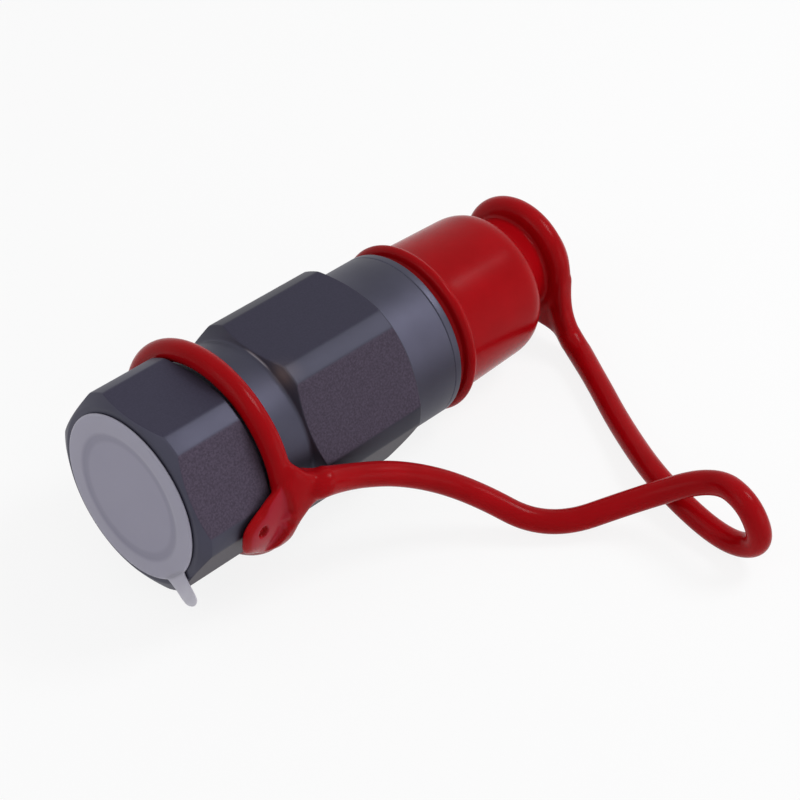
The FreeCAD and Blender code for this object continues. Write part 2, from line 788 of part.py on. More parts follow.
# Tether eye: the loop that hangs on the knob, with the web that narrows to the cord.
eye = ring_body("tether_eye", ("eye_x", "eye_radius"), "eye_section")
web = smooth_outline(eye, "eye_web_outline", "YZ_Plane", WEB_OUTLINE)
web.AttachmentOffset = FreeCAD.Placement(
    FreeCAD.Vector(0, 0, size("eye_x") - size("eye_web") / 2), FreeCAD.Rotation()
)
web_pad = eye.newObject("PartDesign::Pad", "eye_web_pad")
web_pad.Profile = web
web_pad.setExpression("Length", expand("eye_web"))
eye.Tip = web_pad
doc.recompute()
volume = eye.Shape.Volume
hang = FreeCAD.Vector(0, size("eye_side"), size("eye_rise"))
end = FreeCAD.Vector(size("eye_x"), 0, 0) + hang + FreeCAD.Vector(*EYE_ROOT)
run = (end - FreeCAD.Vector(*CORNERS[-1])).normalize()
root_start = end + run * size("eye_root_gap") - hang
cord_root = eye.newObject("PartDesign::AdditiveCylinder", "cord_root")
cord_root.setExpression("Radius", expand("tether_radius"))
cord_root.setExpression("Height", expand("eye_root_length"))
cord_root.Placement = FreeCAD.Placement(root_start, FreeCAD.Rotation(FreeCAD.Vector(0, 0, 1), run))
eye.Tip = cord_root
doc.recompute()
if not eye.Shape.Volume > volume + 1:
    raise RuntimeError("the cord's root adds nothing")
eye.Placement = FreeCAD.Placement(hang, FreeCAD.Rotation())


def rounded_route(points):
    """Straight runs joined by tangent arcs, as one wire."""
    points = [FreeCAD.Vector(*p) for p in points]
    edges = []
    start = points[0]
    for before, corner, after in zip(points, points[1:], points[2:]):
        back = (before - corner).normalize()
        on = (after - corner).normalize()
        turn_angle = math.pi - back.getAngle(on)
        shorter = min((before - corner).Length, (after - corner).Length)
        pull = 0.45 * shorter
        bend = pull / math.tan(turn_angle / 2)
        print("bend radius %.1f mm, turn %.0f degrees" % (bend, math.degrees(turn_angle)))
        first = corner + back * pull
        last = corner + on * pull
        inward = (back + on).normalize()
        middle = corner + inward * (bend / math.cos(turn_angle / 2) - bend)
        edges.append(Part.LineSegment(start, first).toShape())
        edges.append(Part.Arc(first, middle, last).toShape())
        start = last
    edges.append(Part.LineSegment(start, points[-1]).toShape())
    return Part.Wire(edges)


# Tether: the moulded round cord, swept along its route.
route = rounded_route(CORNERS + [tuple(end)])
first_edge = route.OrderedEdges[0]
direction = first_edge.tangentAt(first_edge.FirstParameter)
start_circle = Part.Circle(FreeCAD.Vector(*CORNERS[0]), direction, size("tether_radius"))
section = Part.Wire(start_circle.toShape())
tether = doc.addObject("Part::Feature", "tether")
tether.Label = "tether"
tether.Shape = route.makePipeShell([section], True, True)
tether.Placement = FreeCAD.Placement()
expected = math.pi * size("tether_radius") ** 2 * route.Length
print("tether length %.1f mm, volume %.0f mm3" % (route.Length, tether.Shape.Volume))
print("its section times its length is %.0f mm3" % expected)

doc.recompute()
pieces = [o for o in doc.Objects if o.TypeId == "PartDesign::Body"] + [tether]
for thing in doc.Objects:
    if "Invalid" in thing.State or "Error" in thing.State:
        raise RuntimeError(thing.Name + " failed: " + str(thing.State))
for piece in pieces:
    if piece.Shape.isNull() or not piece.Shape.isValid():
        raise RuntimeError(piece.Label + " has no valid shape")
    if len(piece.Shape.Solids) != 1:
        raise RuntimeError(piece.Label + " is not one solid")
for piece in pieces:
    piece.Shape.exportStep(os.path.join("parts", piece.Label + ".step"))
    box = piece.Shape.BoundBox
    print(piece.Label, "%.0f mm3" % piece.Shape.Volume, "x %.1f %.1f y %.1f %.1f z %.1f %.1f" % (
        box.XMin, box.XMax, box.YMin, box.YMax, box.ZMin, box.ZMax))
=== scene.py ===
import bmesh
import bpy
import numpy as np
from mathutils import Matrix


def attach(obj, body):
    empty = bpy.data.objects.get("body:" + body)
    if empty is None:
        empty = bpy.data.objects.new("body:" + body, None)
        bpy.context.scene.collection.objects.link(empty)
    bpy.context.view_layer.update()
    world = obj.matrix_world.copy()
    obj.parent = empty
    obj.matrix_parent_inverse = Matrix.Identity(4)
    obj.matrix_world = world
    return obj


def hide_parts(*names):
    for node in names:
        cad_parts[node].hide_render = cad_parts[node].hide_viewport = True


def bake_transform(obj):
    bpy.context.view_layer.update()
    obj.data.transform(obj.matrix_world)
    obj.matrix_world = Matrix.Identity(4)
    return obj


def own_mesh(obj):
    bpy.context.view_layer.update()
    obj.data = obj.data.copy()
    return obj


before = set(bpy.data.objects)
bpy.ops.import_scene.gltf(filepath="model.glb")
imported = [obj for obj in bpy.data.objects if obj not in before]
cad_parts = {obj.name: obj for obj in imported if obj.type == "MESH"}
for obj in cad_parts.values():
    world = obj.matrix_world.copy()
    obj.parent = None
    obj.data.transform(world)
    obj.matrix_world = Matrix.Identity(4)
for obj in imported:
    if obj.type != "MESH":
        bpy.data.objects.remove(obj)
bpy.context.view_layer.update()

MM = 0.001

# Camera. A long lens looks down on the coupler's rear and left side, slightly rolled.
look_azimuth, look_elevation, look_roll = np.radians([-47.69, 39.83, 2.91])
look_target = np.array([27.09, 0.0, 0.0])
look_distance, look_right, look_up = 397.9, 28.38, 5.04
sensor_width = 36.0
picture_width, focal_in_pixels = 800, 2178.3
backward = np.array([
    np.sin(look_azimuth) * np.cos(look_elevation),
    -np.cos(look_azimuth) * np.cos(look_elevation),
    np.sin(look_elevation),
])
level_right = np.cross(-backward, (0, 0, 1))
level_right /= np.linalg.norm(level_right)
level_up = np.cross(backward, level_right)
rightward = np.cos(look_roll) * level_right + np.sin(look_roll) * level_up
upward = -np.sin(look_roll) * level_right + np.cos(look_roll) * level_up
stand = look_target + backward * look_distance + rightward * look_right + upward * look_up
lens = bpy.data.cameras.new("camera")
lens.sensor_width = sensor_width
lens.lens = focal_in_pixels / picture_width * sensor_width
camera = bpy.data.objects.new("camera", lens)
bpy.context.scene.collection.objects.link(camera)
camera.matrix_world = Matrix.Translation(stand * MM) @ Matrix(
    np.column_stack([rightward, upward, backward]).tolist()
).to_4x4()
bpy.context.scene.camera = camera

# Tether. A round cord of soft red PVC, moulded in one with the neck ring's lug.
# It leaves the lug, sags to the ground, folds back under itself and ends in the eye behind the cap.
tether_route = np.array([
    (25.5, -22.3, 2.3),
    (32.2, -22.5, -0.1),
    (42.7, -26.4, -3.4),
    (52.9, -32.8, -9.5),
    (60.8, -45.8, -16.4),
    (74.8, -55.8, -10.3),
    (81.8, -66.5, -2.3),
    (79.2, -76.0, -0.8),
    (80.7, -79.9, -9.9),
    (81.1, -71.6, -15.0),
    (81.8, -55.5, -11.7),
    (90.4, -38.9, -13.2),
    (97.8, -25.6, -12.5),
    (101.3, -18.6, -12.1),
])
tether_radius = 2.35
line_steps = 14


def nurbs_line(points):
    """The smooth line of a NURBS spline whose control points are the given points, as points in metres."""
    curve = bpy.data.curves.new("route", "CURVE")
    curve.dimensions = "3D"
    curve.resolution_u = line_steps
    spline = curve.splines.new("NURBS")
    spline.points.add(len(points) - 1)
    spline.points.foreach_set("co", np.c_[points * MM, np.ones(len(points))].ravel())
    spline.order_u = 3
    spline.use_endpoint_u = True
    holder = bpy.data.objects.new("route", curve)
    line = bpy.data.meshes.new_from_object(holder)
    co = np.empty(len(line.vertices) * 3)
    line.vertices.foreach_get("co", co)
    bpy.data.objects.remove(holder)
    return co.reshape(-1, 3)


def tube(path, radius, around=32):
    """A round tube in metres: at each point of the path lies a circle of the radius, square to the path."""
    ahead = np.gradient(path, axis=0)
    ahead /= np.linalg.norm(ahead, axis=1)[:, None]
    side = np.cross(ahead, (1.0, 0.0, 0.0))
    side /= np.linalg.norm(side, axis=1)[:, None]
    over = np.cross(side, ahead)
    turn = np.arange(around) * 2 * np.pi / around
    spoke = np.cos(turn)[None, :, None] * side[:, None] + np.sin(turn)[None, :, None] * over[:, None]
    return path[:, None] + np.broadcast_to(radius, len(path))[:, None, None] * spoke


def sheet_of(rows, wrap_rows, wrap_columns, cap=False):
    """Vertices and faces of a grid of points: each square of four neighbours is a face.
    It may close on itself along its rows or columns, and cap closes its two open ends."""
    high, wide = rows.shape[:2]
    index = np.arange(high * wide).reshape(high, wide)
    if wrap_rows:
        index = np.r_[index, index[:1]]
    if wrap_columns:
        index = np.c_[index, index[:, :1]]
    faces = np.stack([index[:-1, :-1], index[1:, :-1], index[1:, 1:], index[:-1, 1:]], -1)
    faces = faces.reshape(-1, 4).tolist()
    if cap:
        faces += [index[0, :wide].tolist(), index[-1, :wide][::-1].tolist()]
    return rows.reshape(-1, 3), faces


merge_distance = 2e-7


def new_piece(name, parts):
    """One closed, smooth shaded mesh from several grids, with its faces pointing outwards."""
    mesh = bpy.data.meshes.new(name)
    start, points, faces = 0, [], []
    for spots, squares in parts:
        points.append(spots)
        faces += [[start + i for i in face] for face in squares]
        start += len(spots)
    mesh.from_pydata(np.concatenate(points).tolist(), [], faces)
    work = bmesh.new()
    work.from_mesh(mesh)
    bmesh.ops.remove_doubles(work, verts=work.verts, dist=merge_distance)
    bmesh.ops.recalc_face_normals(work, faces=work.faces)
    work.to_mesh(mesh)
    work.free()
    mesh.shade_smooth()
    piece = bpy.data.objects.new(name, mesh)
    bpy.context.scene.collection.objects.link(piece)
    return piece


def material(name):
    """A new material and a function that adds a node to it and sets the node's sockets."""
    made = bpy.data.materials.new(name)
    made.use_nodes = True
    tree = made.node_tree
    shader = tree.nodes["Principled BSDF"]

    def node(kind, **sockets):
        added = tree.nodes.new("ShaderNode" + kind)
        for key, value in sockets.items():
            if key.startswith("set_"):
                setattr(added, key[4:], value)
            elif isinstance(value, bpy.types.NodeSocket):
                tree.links.new(value, added.inputs[key.replace("_", " ")])
            else:
                added.inputs[key.replace("_", " ")].default_value = value
        return added

    return made, tree, shader, node


# Soft PVC: satin skin, a little light under the surface, faint flow marks and a fine grain.
red_pvc, tree, shader, node = material("red_pvc")
where = node("TexCoord").outputs["Object"]
flow = node("TexNoise", Vector=where, Scale=140.0, Detail=3.0)
tint = node("ValToRGB", Fac=flow.outputs["Fac"])
tint.color_ramp.elements[0].position, tint.color_ramp.elements[1].position = 0.3, 0.75
tint.color_ramp.elements[0].color = (0.315, 0.0014, 0.0036, 1)
tint.color_ramp.elements[1].color = (0.368, 0.0022, 0.0052, 1)
# The lug's facet is painted paler and pinker: a painted sheen where its flat face catches the light.
sheen_mark = node("Attribute", set_attribute_name="painted_facet_sheen").outputs["Fac"]
sheen_mix = node("Mix", set_data_type="RGBA")
tree.links.new(sheen_mark, sheen_mix.inputs["Factor"])
tree.links.new(tint.outputs["Color"], sheen_mix.inputs[6])
sheen_mix.inputs[7].default_value = (0.375, 0.015, 0.028, 1)
tree.links.new(sheen_mix.outputs[2], shader.inputs["Base Color"])
skin = node("TexNoise", Vector=where, Scale=2600.0, Detail=2.0)
gloss = node("MapRange", Value=flow.outputs["Fac"], To_Min=0.18, To_Max=0.27)
tree.links.new(gloss.outputs["Result"], shader.inputs["Roughness"])
relief = node("Bump", Strength=0.05, Distance=0.0002, Height=skin.outputs["Fac"])
tree.links.new(relief.outputs["Normal"], shader.inputs["Normal"])
shader.inputs["Specular IOR Level"].default_value = 0.06
shader.inputs["Subsurface Weight"].default_value = 0.08
shader.inputs["Subsurface Radius"].default_value = (0.0012, 0.0003, 0.0002)
shader.inputs["Subsurface Scale"].default_value = 1.0

tether_line = nurbs_line(tether_route)
cord = new_piece("tether_cord", [sheet_of(tube(tether_line, tether_radius * MM), False, True, cap=True)])
cord.data.materials.append(red_pvc)
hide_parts("tether")
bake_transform(cord)

# Neck ring and lug. One red PVC moulding: a round ring that snaps into the neck,
# with a thin plate holding a blind pin hole, thickening into the root of the cord.
ring_x, ring_radius, ring_section, ring_drop = 18.3, 19.58, 2.16, 0.3
lug_middle = np.radians(95.0)
lug_outline = np.array([
    (27.4, 1.6), (25.2, 1.5), (23.4, 0.9), (21.6, -0.4), (20.1, -2.2), (19.3, -4.6), (18.9, -6.8),
    (17.5, -8.6), (15.5, -9.1), (13.3, -8.5), (11.0, -7.0), (8.6, -4.7), (7.7, -1.3), (8.0, 1.7),
    (10.1, 3.8), (13.0, 5.4), (15.8, 6.7), (17.6, 8.8), (19.3, 10.0), (20.8, 9.0), (22.3, 7.4),
    (24.1, 6.2), (25.7, 5.8), (27.4, 5.7),
])
lug_heart = np.array([(13.0, -1.5), (17.5, 0.0), (22.0, 3.2), (26.0, 3.7)])


def closed_line(points, steps):
    """A smooth closed line through the points: each stretch is a cubic that leaves and meets its points
    along the chord between their neighbours."""
    t = (np.arange(steps) / steps)[:, None, None]
    before, here, after, beyond = (np.roll(points, k, 0)[None] for k in (1, 0, -1, -2))
    line = 0.5 * (
        2 * here
        + (after - before) * t
        + (2 * before - 5 * here + 4 * after - beyond) * t**2
        + (3 * here - before - 3 * after + beyond) * t**3
    )
    return line.transpose(1, 0, 2).reshape(-1, points.shape[1])


def pillow(outline, heart, steps, roundness):
    """A flat body with rounded rims. From the nearest point of its heart line it runs out to the outline
    and back under: across goes as sin(v)^(2/n) and thickness as cos(v)^(2/n), a superellipse, where n may
    change along the body. Returns the place in the plane and the height from -1 to 1."""
    rim = closed_line(outline, steps)
    roundness = np.interp(rim[:, 0], *roundness)
    spine = np.stack([np.interp(np.linspace(0, 3, 61), range(4), heart[:, k]) for k in (0, 1)], -1)
    root = spine[np.linalg.norm(rim[:, None] - spine[None], axis=2).argmin(1)]
    v = np.linspace(0, np.pi, 33)[:, None]
    across = np.abs(np.sin(v)) ** (2 / roundness[None])
    height = np.sign(np.cos(v)) * np.abs(np.cos(v)) ** (2 / roundness[None])
    return root[None] + across[:, :, None] * (rim - root)[None], height


def torus(x, radius, section, around=192, about=28):
    """A ring about the X axis, in millimetres: a circle of the section's radius carried round."""
    turn = (np.arange(around) * 2 * np.pi / around)[:, None]
    tip = (np.arange(about) * 2 * np.pi / about)[None]
    far = radius + section * np.cos(tip)
    return np.stack([x + section * np.sin(tip) + 0 * turn, -far * np.sin(turn), far * np.cos(turn)], -1)


# The lug's flat facet is cut at one distance from the axis, as far as a crease that runs across the plate.
# Beyond the crease the plate swells into the cord's root. Its rim is a low wall before it slants. The
# distances from the axis are outer for its far side, inner for its near side and rim_far for its rim.
lug_facet, crease_rise, crease_width, rim_wall = 21.5, 2.5, 0.5, 0.45
crease_up = [-8.5, -6.3, -1.2, 1.5, 5.1, 8.1, 10.2]
crease_x = [13.0, 14.7, 17.1, 17.6, 17.3, 16.5, 16.2]
lug_roundness = ([12.0, 16.0, 19.5], [1.05, 2.0, 4.0])
lug_height_steps, wall_steepness = 8, 8

spot, height = pillow(lug_outline, lug_heart, lug_height_steps, lug_roundness)
past_crease = spot[..., 0] - np.interp(spot[..., 1], crease_up, crease_x)
outer = np.interp(spot[..., 0], [12.0, 16.0, 22.5, 26.5], [22.25, 22.9, 23.2, 24.4])
inner = np.interp(spot[..., 0], [15.4, 17.0, 24.0, 26.5], [20.0, 18.4, 18.4, 20.2])
rim_far = np.interp(spot[..., 0], [15.4, 17.0, 24.0, 26.5], [20.55, 20.4, 20.8, 22.3])
wall = np.clip(wall_steepness * height, -1, 1)
upper = rim_wall * wall + height * (outer - rim_far - rim_wall)
far = rim_far + np.where(height > 0, upper, wall * (rim_far - inner))
far = np.minimum(far, lug_facet + crease_rise * np.clip(past_crease / crease_width, 0, 1))
swing = lug_middle - np.arcsin(np.clip(spot[..., 1] / lug_facet, -1, 1))
lug = np.stack([spot[..., 0], -far * np.sin(swing), far * np.cos(swing) + ring_drop], -1)
ring_grid = torus(ring_x, ring_radius, ring_section) + (0, 0, ring_drop)

# seat_cord looks at the skin within this reach of the line and leaves the line's core alone.
seat_reach, seat_core = 4.0, 1.2


def seat_cord(piece, line, want):
    """Pushes the piece's skin out to the wanted distance from the cord's line where it has sunk below it,
    so that the cord comes out of the moulding without a step. Only skin within the reach of the line and
    outside its core is pushed. Line in metres, distances in millimetres."""
    co = np.empty(len(piece.data.vertices) * 3)
    piece.data.vertices.foreach_get("co", co)
    co = co.reshape(-1, 3)
    close = np.linalg.norm(co[:, None] - line[None, ::4], axis=2).min(1) < seat_reach * MM
    near_co = co[close]
    gap = np.linalg.norm(near_co[:, None] - line[None], axis=2)
    which = gap.argmin(1)
    ahead = np.gradient(line, axis=0)
    ahead /= np.linalg.norm(ahead, axis=1)[:, None]
    off = near_co - line[which]
    off -= (off * ahead[which]).sum(1)[:, None] * ahead[which]
    distance = np.linalg.norm(off, axis=1)
    lift = np.maximum(want[which] * MM / np.maximum(distance, 1e-6), 1.0) - 1.0
    beyond = ((near_co - line[0]) @ ahead[0] < 0) | ((near_co - line[-1]) @ ahead[-1] > 0)
    lift[beyond & ((which == 0) | (which == len(line) - 1))] = 0.0
    lift[distance < seat_core * MM] = 0.0
    co[close] = near_co + lift[:, None] * off
    piece.data.vertices.foreach_set("co", co.ravel())
    piece.data.update()


def ease(piece, even, spots):
    """Smooths the piece's skin: each pass moves a point halfway to its neighbours' mean. Points get as many
    passes as the even number plus each spot's number times exp(-(distance / reach)^2)."""
    skin_mesh = piece.data
    co = np.empty(len(skin_mesh.vertices) * 3)
    skin_mesh.vertices.foreach_get("co", co)
    co = co.reshape(-1, 3)
    ends = np.empty(len(skin_mesh.edges) * 2, int)
    skin_mesh.edges.foreach_get("vertices", ends)
    one, two = ends.reshape(-1, 2).T
    near = np.bincount(np.r_[one, two], minlength=len(co))[:, None]
    passes = np.full(len(co), float(even))
    for spot, reach, extra in spots:
        passes += extra * np.exp(-(np.linalg.norm(co / MM - spot, axis=1) / reach) ** 2)
    for turn in range(int(passes.max()) + 1):
        share = 0.5 * np.clip(passes - turn, 0, 1)[:, None]
        pull = np.stack([
            np.bincount(one, co[two, k], len(co)) + np.bincount(two, co[one, k], len(co)) for k in range(3)
        ], -1)
        co = co + share * (pull / near - co)
    skin_mesh.vertices.foreach_set("co", co.ravel())
    skin_mesh.update()


def moulded(name, parts, voxel, material_used):
    """Joins overlapping closed grids, in millimetres, into one skin of even small squares."""
    rough = new_piece(name, [sheet_of(p * MM, *w) for p, *w in parts])
    join = rough.modifiers.new("one_skin", "REMESH")
    join.mode = "VOXEL"
    join.voxel_size = voxel * MM
    bpy.context.view_layer.update()
    skin_mesh = bpy.data.meshes.new_from_object(rough.evaluated_get(bpy.context.evaluated_depsgraph_get()))
    rough.modifiers.clear()
    rough.data = skin_mesh
    skin_mesh.shade_smooth()
    skin_mesh.materials.clear()
    skin_mesh.materials.append(material_used)
    return rough


# The cord's root starts inside the lug, leaves it a little thicker and sinks into the cord's own skin.
# The joined skin is eased where the lug, the ring and the root run into each other.
along_cord = np.r_[0, np.cumsum(np.linalg.norm(np.diff(tether_line, axis=0), axis=1))] / MM
lug_root_length, lug_root_inside, lug_root_start = 10.0, 6.0, np.array([19.6, -20.5, 1.6])
lug_root = along_cord < lug_root_length
share = np.linspace(0, 0.93, 12)[:, None]
inside_lug = (1 - share) * lug_root_start * MM + share * tether_line[0]
lug_root_path = np.r_[inside_lug, tether_line[lug_root]]
along_lug_root = np.r_[-lug_root_inside + lug_root_inside * share[:, 0], along_cord[lug_root]]
lug_root_radius = np.interp(along_lug_root, [-6, -1, 4, 7, 10], [1.6, 2.42, 2.50, 2.40, 2.20])
neck_ring = moulded(
    "neck_ring_moulding",
    [
        (ring_grid, True, True),
        (lug, False, True, True),
        (tube(lug_root_path, lug_root_radius * MM) / MM, False, True, True),
    ],
    voxel=0.20, material_used=red_pvc,
)
ease(neck_ring, 8, [
    ((20.5, -20.6, 8.5), 3.2, 90), ((24.5, -22.0, 5.6), 3.0, 70), ((27.5, -22.5, 3.4), 3.0, 30),
    ((22.5, -21.5, -2.5), 2.5, 30), ((17.6, -22.0, -1.6), 1.2, 16),
    ((8.5, -21.3, -3.9), 1.6, 10), ((11.0, -20.6, -6.3), 1.6, 10),
])
lug_root_skin = ([-6, -3, -1.5, 0, 1.5, 3, 6, 9, 10], [0.0, 2.2, 2.78, 2.80, 2.68, 2.57, 2.43, 2.34, 2.20])
seat_cord(neck_ring, lug_root_path, np.interp(along_lug_root, *lug_root_skin))
ease(neck_ring, 0, [((25.2, -22.3, 2.6), 4.5, 36)])

# The blind pin hole in the lug's facet is sunk into the finished skin: inward by the depth inside its rim,
# less a small gate mark left standing in its middle.
hole_x, hole_up, hole_radius, hole_depth, hole_wall = 11.9, 0.1, 1.2, 0.95, 0.3
hole_squeeze, hole_within = (1.1, 0.85), 0.45
gate_radius, gate_height, gate_wall = 0.45, 0.5, 0.25
skin_mesh = neck_ring.data
co = np.empty(len(skin_mesh.vertices) * 3)
skin_mesh.vertices.foreach_get("co", co)
co = co.reshape(-1, 3)
side_out = np.array([0.0, -np.sin(lug_middle), np.cos(lug_middle)])
side_up = np.array([0.0, np.cos(lug_middle), np.sin(lug_middle)])
from_hole = np.hypot(
    (co[:, 0] / MM - hole_x) * hole_squeeze[0], (co @ side_up / MM - hole_up) * hole_squeeze[1]
)
sunk = hole_depth * np.clip((hole_radius - from_hole) / hole_wall, 0, 1)
sunk -= gate_height * np.clip((gate_radius - from_hole) / gate_wall, 0, 1)
sunk *= co @ side_out / MM > lug_facet - hole_within
skin_mesh.vertices.foreach_set("co", (co - sunk[:, None] * MM * side_out).ravel())
skin_mesh.update()

# The facet carries a paler, pinkish painted sheen, standing in for the light that its flat face catches. The
# mark is 1 where the skin lies as far from the axis as the facet, on the lug's side and short of the crease,
# and fades to 0 over the two edge widths.
facet_within, facet_edge, crease_edge, side_within, hole_start = 0.16, 0.1, 0.3, 18.0, 0.1
from_axis = np.hypot(co[:, 1], co[:, 2] - ring_drop * MM) / MM
left_of_crease = np.interp(co @ side_up / MM, crease_up, crease_x) - co[:, 0] / MM
on_facet = np.clip((from_axis - lug_facet + facet_within) / facet_edge, 0, 1)
on_facet *= np.clip(left_of_crease / crease_edge, 0, 1)
on_facet *= (co @ side_out / MM > side_within) & (sunk < hole_start)
painted_facet_sheen = skin_mesh.attributes.new("painted_facet_sheen", "FLOAT", "POINT")
painted_facet_sheen.data.foreach_set("value", on_facet.astype(np.float32))
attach(neck_ring, "coupler")
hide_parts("neck_ring")

# Eye. The tether's far end, of the same red PVC and moulded in one with the cord: a round loop with a thin
# web, stretched over the cap's knob. A collar inside the loop reaches to the cap's end, so that nothing
# shows between them.
eye_x, eye_radius, eye_section = 102.7, 10.88, 2.43
eye_hang = np.array([0.0, 0.7, 0.5])


def rounded(corners, steps=6):
    """A closed profile from (x, radius, rounding) corners: each corner becomes a quadratic arc that starts
    and ends at the rounding's distance from it, but not past 0.45 of either side."""
    corners = np.array(corners, float)
    spots, reach = corners[:, :2], corners[:, 2:]
    back, on = np.roll(spots, 1, 0) - spots, np.roll(spots, -1, 0) - spots
    back_far = np.linalg.norm(back, axis=1)[:, None]
    on_far = np.linalg.norm(on, axis=1)[:, None]
    first = spots + back * np.minimum(reach / back_far, 0.45)
    last = spots + on * np.minimum(reach / on_far, 0.45)
    t = np.linspace(0, 1, steps)[None, :, None]
    arcs = (1 - t) ** 2 * first[:, None] + 2 * t * (1 - t) * spots[:, None] + t**2 * last[:, None]
    return arcs.reshape(-1, 2)


def divided(profile, longest):
    """The closed profile with more points where its stretches are longer than the given length."""
    ends = np.roll(profile, -1, 0)
    count = np.maximum(1, np.ceil(np.linalg.norm(ends - profile, axis=1) / longest)).astype(int)
    which = np.repeat(np.arange(len(profile)), count)
    step = np.concatenate([np.arange(n) / n for n in count])[:, None]
    return profile[which] + (ends - profile)[which] * step


def turned(profile, around=180):
    """A profile of (x, radius) points carried round the X axis."""
    turn = (np.arange(around) * 2 * np.pi / around)[None]
    x, far = profile[:, :1], profile[:, 1:]
    return np.stack([x + 0 * turn, -far * np.sin(turn), far * np.cos(turn)], -1)


web_outline = np.array([
    (-13.2, 1.6), (-13.6, -1.2), (-14.2, -3.9), (-15.2, -6.2), (-16.8, -8.4), (-18.2, -10.4),
    (-18.0, -12.8), (-16.0, -14.4), (-14.2, -13.6), (-12.8, -12.5), (-11.2, -11.8), (-9.0, -11.5),
    (-6.4, -11.4), (-6.6, -9.7), (-9.0, -7.1), (-10.9, -3.6), (-11.6, 0.0), (-12.4, 1.6),
])
web_heart = np.array([(-12.3, 0.0), (-12.5, -6.0), (-13.6, -9.6), (-16.4, -12.0)])
web_steps, web_roundness = 8, ([0.0], [3.0])
spot, height = pillow(web_outline, web_heart, web_steps, web_roundness)
thick = np.interp(spot[..., 0], [-17.5, -12.0], [2.1, 2.0])
lean = np.interp(spot[..., 0], [-19.0, -13.0], [-1.2, 0.0])
web = np.stack([eye_x + lean + height * thick, spot[..., 0], spot[..., 1]], -1) + eye_hang
eye_grid = torus(eye_x, eye_radius, eye_section) + eye_hang
eye_collar = turned(divided(rounded([
    (94.5, 8.5, 0.2), (94.5, 10.9, 0.5), (97.5, 10.1, 2.0), (100.0, 9.7, 0.8), (101.0, 11.0, 0.5),
    (103.0, 10.5, 0.3), (103.0, 8.5, 0.2),
]), 0.8)) + eye_hang

# The cord's root takes in its last stretch, and bends up past its end into the loop along these points.
eye_root_length, strap_length = 9.0, 15.0
eye_root = along_cord > along_cord[-1] - eye_root_length
strap = nurbs_line(np.array([
    (101.30, -18.60, -12.10), (101.75, -16.88, -11.50), (102.30, -14.08, -9.72), (102.60, -11.93, -7.20),
    (102.65, -10.45, -3.57), (102.6, -9.95, 0.80),
]))[1:]
eye_root_path = np.r_[tether_line[eye_root], strap]
along_eye_root = np.r_[along_cord[eye_root] - along_cord[-1], np.linspace(0.2, strap_length, len(strap))]
eye_root_radius = np.interp(along_eye_root, [-9, -4, 0, 8, 11, 15], [2.20, 2.42, 2.52, 2.38, 2.2, 1.4])
eye = moulded(
    "tether_eye_moulding",
    [
        (eye_grid, True, True),
        (eye_collar, True, True),
        (web, False, True, True),
        (tube(eye_root_path, eye_root_radius * MM) / MM, False, True, True),
    ],
    voxel=0.22, material_used=red_pvc,
)
ease(eye, 8, [
    ((102.6, -10.6, -1.5), 3.5, 40), ((102.5, -12.5, -8.5), 3.5, 90),
    ((102.5, -14.0, -4.0), 3.0, 40), ((101.6, -17.0, -13.0), 3.0, 60),
])
eye_root_skin = ([-9, -8, -4, 0, 5, 8], [2.20, 2.33, 2.40, 2.50, 2.42, 0])
seat_cord(eye, eye_root_path, np.interp(along_eye_root, *eye_root_skin))
ease(eye, 0, [((101.5, -18.0, -11.8), 2.5, 18)])
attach(eye, "tether_end")
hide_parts("tether_eye")

# Dust cap. A moulded red PVC cup with a rolled lip, pushed over the nose. The knob behind it, in one with
# the cup, has a plain stem for the eye and a flat head.
cap_profile = rounded([
    (67.95, 13.65, 0.3),
    (67.95, 15.2, 0.5),
    (69.0, 15.7, 0.3),
    (69.2, 16.9, 0.5),
    (70.3, 17.7, 1.2),
    (71.5, 16.7, 0.6),
    (71.9, 15.75, 0.5),
    (80.0, 15.5, 4.0),
    (91.0, 15.15, 2.0),
    (94.0, 13.4, 2.2),
    (94.0, 7.6, 0.4),
    (94.8, 7.2, 0.4),
    (105.48, 7.2, 0.3),
    (105.48, 9.9, 0.4),
    (106.2, 10.2, 0.5),
    (106.98, 9.6, 0.6),
    (106.98, 0.0, 0.0),
    (92.1, 0.0, 0.0),
    (92.1, 12.8, 0.3),
    (91.3, 13.6, 0.3),
])
cap = new_piece("dust_cap_moulding", [sheet_of(turned(divided(cap_profile, 1.5)) * MM, True, True)])
cap.data.materials.append(red_pvc)
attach(cap, "cap")
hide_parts("dust_cap")

# Coupler body. Hexagon bar, turned outside and bored from both ends, then plated dark.
# Turning leaves cylindrical strips on the hexagon's corners and cones at its ends.
flat_distance, corner_radius, neck_radius = 18.0, 19.7, 17.2
body_profile = rounded([
    (0.0, 13.7, 0.1), (0.0, 17.5, 0.25), (1.27, 19.7, 0.25), (15.45, 19.7, 0.25), (16.62, 17.25, 0.4),
    (27.7, 17.2, 0.5), (29.14, 19.7, 0.25), (53.2, 19.7, 0.25), (54.76, 17.0, 0.4), (65.4, 17.0, 0.12),
    (65.4, 15.05, 0.1), (60.2, 15.05, 0.1), (60.2, 13.19, 0.1), (48.5, 13.19, 0.1), (48.5, 10.25, 0.2),
    (19.04, 10.25, 0.3), (18.0, 12.06, 0.2), (1.64, 12.06, 0.15),
], steps=5)
rise = (body_profile[:, 1] + np.roll(body_profile[:, 1], -1)) / 2
middle = (body_profile[:, 0] + np.roll(body_profile[:, 0], -1)) / 2

# The flats' curved edges run over the cones, so the profile has short steps there and long ones elsewhere.
# A cone's stretches have their middle between the neck's radius and the corners'.
cone_step, plain_step = 0.15, 3.5
slanting = (rise > neck_radius + 0.05) & (rise < corner_radius - 0.02) & (middle > 0.02)
body_profile = divided(body_profile, np.where(slanting, cone_step, plain_step))
edge_softness, mark_share = 0.06, 0.35


